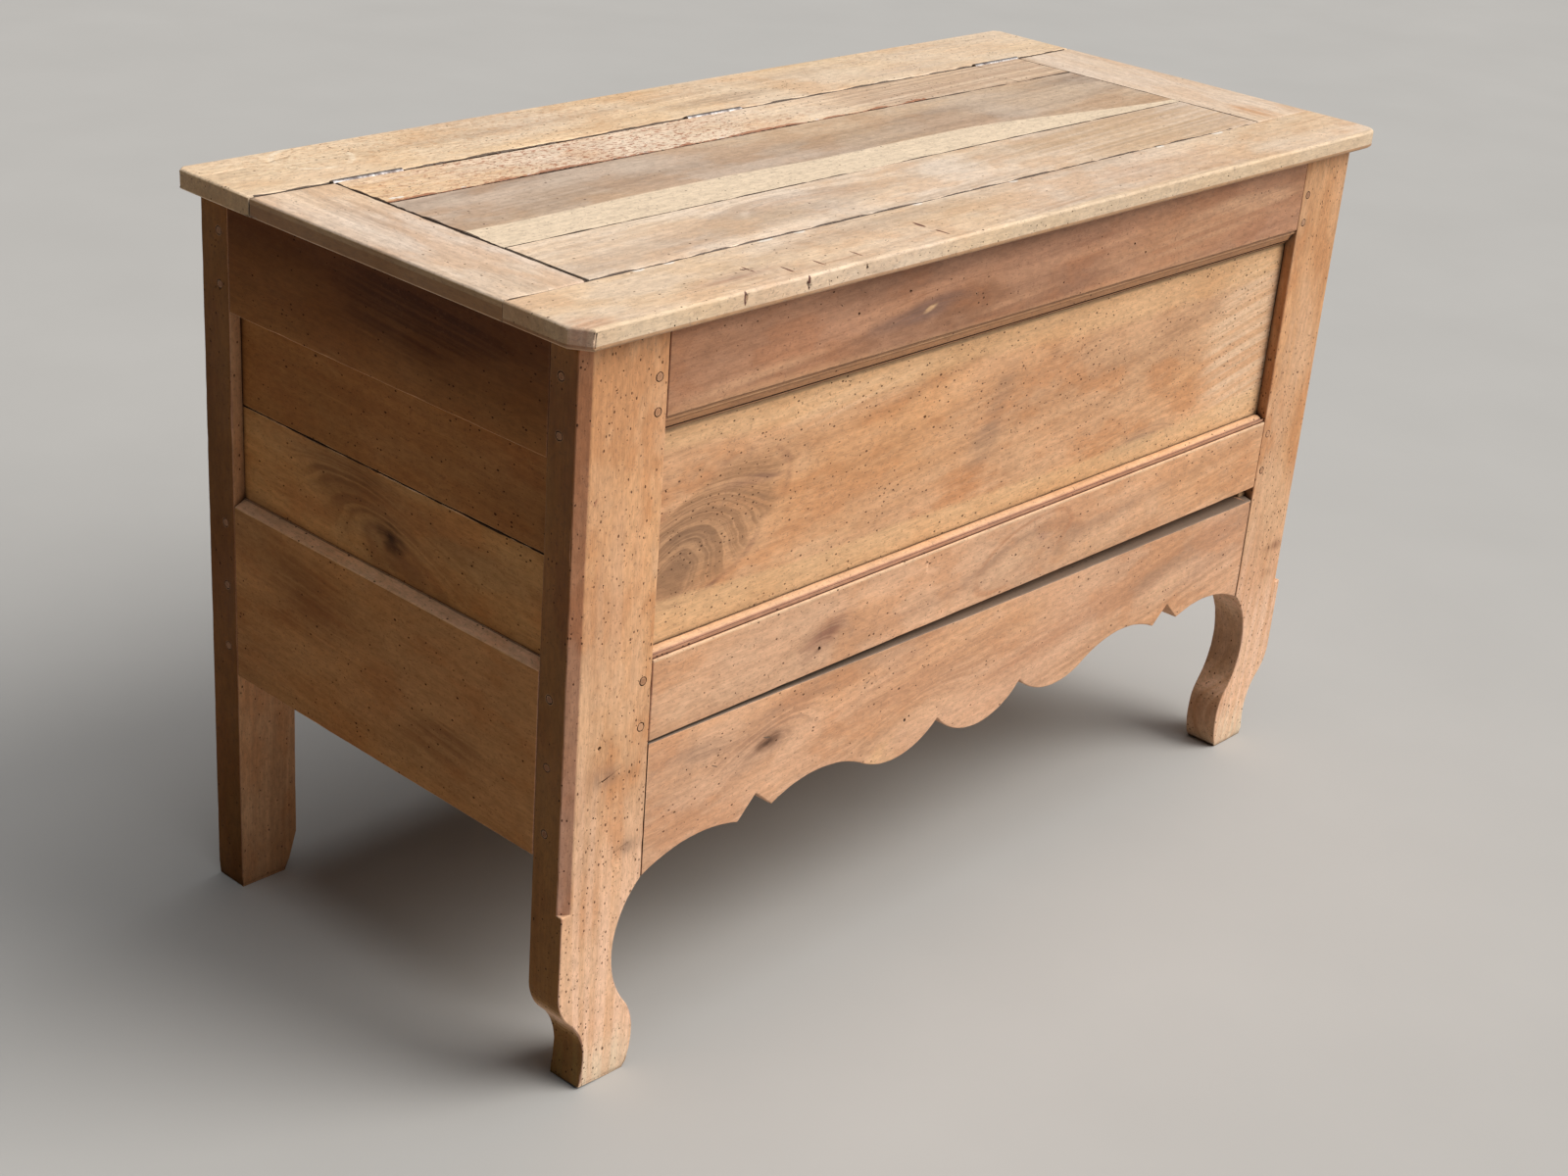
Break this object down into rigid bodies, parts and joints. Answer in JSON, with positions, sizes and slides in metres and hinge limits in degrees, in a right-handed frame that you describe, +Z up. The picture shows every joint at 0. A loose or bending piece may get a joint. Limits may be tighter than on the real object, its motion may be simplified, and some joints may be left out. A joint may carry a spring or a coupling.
{
  "type": "wooden storage chest",
  "caption": "Panelled wooden chest with a hinged plank lid, a full-length drawer with a scalloped front, and S-curved front feet.",
  "frame": {"origin": "on the floor, under the centre of the rectangle that bounds the top", "axes": "+X along the front from the left end to the right end, +Y from the front to the back, +Z up"},
  "size_m": [1.35, 0.622, 0.8518],
  "materials": {
    "old_walnut": "bare, hand-rubbed, worn",
    "top_walnut": "bare, scrubbed, worn",
    "inner_wood": "rough-planed, dusty",
    "peg_wood": "end grain, worn flush",
    "hinge_steel": "dull, lightly worn",
    "nail_iron": "dark, hand-made"
  },
  "bodies": {
    "case": {"back_bottom_rail": "inner_wood", "back_panel_lower_board": "inner_wood", "back_panel_upper_board": "inner_wood", "back_rail_pegs": "peg_wood", "back_top_rail": "inner_wood", "drawer_guide_left": "inner_wood", "drawer_guide_right": "inner_wood", "drawer_runner_left": "inner_wood", "drawer_runner_right": "inner_wood", "drawer_stop_left": "inner_wood", "drawer_stop_right": "inner_wood", "floor_board_front": "inner_wood", "floor_board_middle": "inner_wood", "floor_board_rear": "inner_wood", "floor_ledge_front": "inner_wood", "floor_ledge_left": "inner_wood", "floor_ledge_right": "inner_wood", "front_left_post": "old_walnut", "front_middle_rail": "old_walnut", "front_panel": "old_walnut", "front_rail_pegs": "peg_wood", "front_right_post": "old_walnut", "front_top_rail": "old_walnut", "hinge_left_pin": "hinge_steel", "hinge_left_plank_leaf": "hinge_steel", "hinge_middle_pin": "hinge_steel", "hinge_middle_plank_leaf": "hinge_steel", "hinge_plank_screws": "hinge_steel", "hinge_right_pin": "hinge_steel", "hinge_right_plank_leaf": "hinge_steel", "left_bottom_rail": "old_walnut", "left_panel_lower_board": "old_walnut", "left_panel_upper_board": "old_walnut", "left_rail_pegs": "peg_wood", "left_top_rail": "old_walnut", "rear_left_post": "old_walnut", "rear_right_post": "old_walnut", "right_bottom_rail": "old_walnut", "right_panel_lower_board": "old_walnut", "right_panel_upper_board": "old_walnut", "right_rail_pegs": "peg_wood", "right_top_rail": "old_walnut", "top_back_plank": "top_walnut"},
    "lid": {"hinge_left_lid_leaf": "hinge_steel", "hinge_lid_screws": "hinge_steel", "hinge_middle_lid_leaf": "hinge_steel", "hinge_right_lid_leaf": "hinge_steel", "lid_front_plank": "top_walnut", "lid_front_rail": "top_walnut", "lid_left_end_board": "top_walnut", "lid_middle_plank": "top_walnut", "lid_rear_plank": "top_walnut", "lid_right_end_board": "top_walnut"},
    "drawer": {"drawer_back": "inner_wood", "drawer_bottom_front_board": "inner_wood", "drawer_bottom_rear_board": "inner_wood", "drawer_front": "old_walnut", "drawer_nails": "nail_iron", "drawer_side_left": "inner_wood", "drawer_side_right": "inner_wood"}
  },
  "joints": [
    {"name": "lid_hinge", "type": "hinge", "parent": "case", "child": "lid", "pos_m": [0, 0.182, 0.8478], "axis": [-1, 0, 0], "range_deg": [0, 105]},
    {"name": "drawer_slide", "type": "slide", "parent": "case", "child": "drawer", "axis": [0, -1, 0], "range_m": [0, 0.38]}
  ]
}
